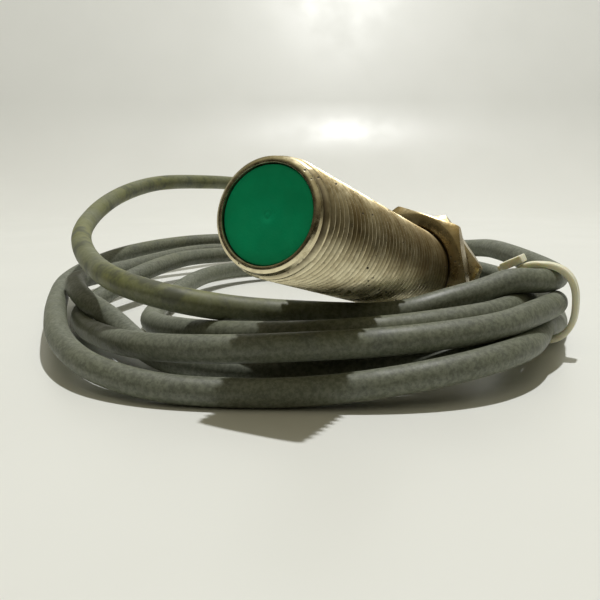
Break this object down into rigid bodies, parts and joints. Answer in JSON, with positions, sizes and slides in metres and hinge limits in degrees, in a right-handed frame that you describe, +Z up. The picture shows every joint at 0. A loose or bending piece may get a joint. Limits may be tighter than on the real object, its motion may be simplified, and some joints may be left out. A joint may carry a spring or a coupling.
{
  "type": "inductive proximity sensor with cable",
  "caption": "Cylindrical threaded-barrel inductive proximity sensor with a green sensing cap, hexagon lock nuts and a grey cable coiled up in a tie.",
  "frame": {"origin": "on the table, under the middle of the sensor's own box; the cable is left out of that box", "axes": "+Z up; -Y is the way the green sensing face looks, 15 degrees above level, and the barrel runs back from it along +Y; +X is across the barrel, to the right when the barrel is seen from its cable end"},
  "size_m": [0.1389, 0.1685, 0.0381],
  "materials": {
    "plated_brass": "nickel plating over brass, worn and slightly tarnished",
    "nut_brass": "nickel plating over brass, rubbed through at the corners",
    "green_plastic": "fine matt moulded plastic",
    "ferrite": "sintered, dull dark grey",
    "white_plastic": "moulded, slightly cream",
    "copper": "enamelled copper wire",
    "board_laminate": "solder-masked glass-epoxy",
    "chip_plastic": "moulded black epoxy",
    "ceramic": "fired ceramic with tinned ends",
    "resistor_coating": "glazed black with tinned ends",
    "diode_glass": "orange glass with a dark band",
    "amber_lens": "clear amber epoxy",
    "amber_cap": "translucent amber plastic",
    "epoxy": "cast black resin",
    "seal_rubber": "smooth nitrile",
    "boot_rubber": "matt moulded",
    "cable_pvc": "grey PVC sheath, faintly olive, scuffed",
    "nylon": "natural cream nylon, slightly translucent",
    "washer_steel": "zinc-plated spring steel",
    "wire_brown": "PVC insulation",
    "wire_blue": "PVC insulation",
    "wire_black": "PVC insulation",
    "tinned_copper": "twisted strands dipped in solder"
  },
  "bodies": {
    "sensor": {"threaded_barrel": "plated_brass", "sensing_cap": "green_plastic", "ferrite_core": "ferrite", "coil_bobbin": "white_plastic", "coil_winding": "copper", "board_carrier": "white_plastic", "circuit_board": "board_laminate", "oscillator_chip": "chip_plastic", "output_transistor": "chip_plastic", "tuning_capacitor": "ceramic", "supply_capacitor": "ceramic", "gain_resistor": "resistor_coating", "load_resistor": "resistor_coating", "protection_diode": "diode_glass", "status_led": "amber_lens", "potting_plug": "epoxy", "rear_cap": "amber_cap", "seal_ring": "seal_rubber", "relief_boot": "boot_rubber", "crimp_ring": "washer_steel", "jacket_end": "cable_pvc", "conductor_brown": "wire_brown", "conductor_blue": "wire_blue", "conductor_black": "wire_black", "cable_lead": "cable_pvc", "cable_loop": "cable_pvc", "cable_coil": "cable_pvc", "tie_strap": "nylon", "tie_head": "nylon", "wire_brown": "wire_brown", "wire_blue": "wire_blue", "wire_black": "wire_black", "tip_brown": "tinned_copper", "tip_blue": "tinned_copper", "tip_black": "tinned_copper"},
    "front_nut": {"front_lock_nut": "nut_brass"},
    "rear_nut": {"rear_lock_nut": "nut_brass"},
    "front_washer": {"front_washer": "washer_steel"},
    "rear_washer": {"rear_washer": "washer_steel"}
  },
  "joints": [
    {"name": "front_washer_slide", "type": "slide", "parent": "sensor", "child": "front_washer", "axis": [0, -0.9659, 0.2588], "range_m": [0, 0.0135]},
    {"name": "front_nut_turn", "type": "hinge", "parent": "front_washer", "child": "front_nut", "pos_m": [0, 0.01612, 0.01441], "axis": [0, -0.9659, 0.2588], "range_deg": [0, 3240]},
    {"name": "rear_washer_slide", "type": "slide", "parent": "sensor", "child": "rear_washer", "axis": [0, -0.9659, 0.2588], "range_m": [-0.0015, 0]},
    {"name": "rear_nut_turn", "type": "hinge", "parent": "rear_washer", "child": "rear_nut", "pos_m": [0, 0.0223, 0.01275], "axis": [0, -0.9659, 0.2588], "range_deg": [-360, 0]}
  ],
  "couplings": [
    {"joint": "front_washer_slide", "follows": "front_nut_turn", "m_per_rad": 0.00023873},
    {"joint": "rear_washer_slide", "follows": "rear_nut_turn", "m_per_rad": 0.00023873}
  ]
}
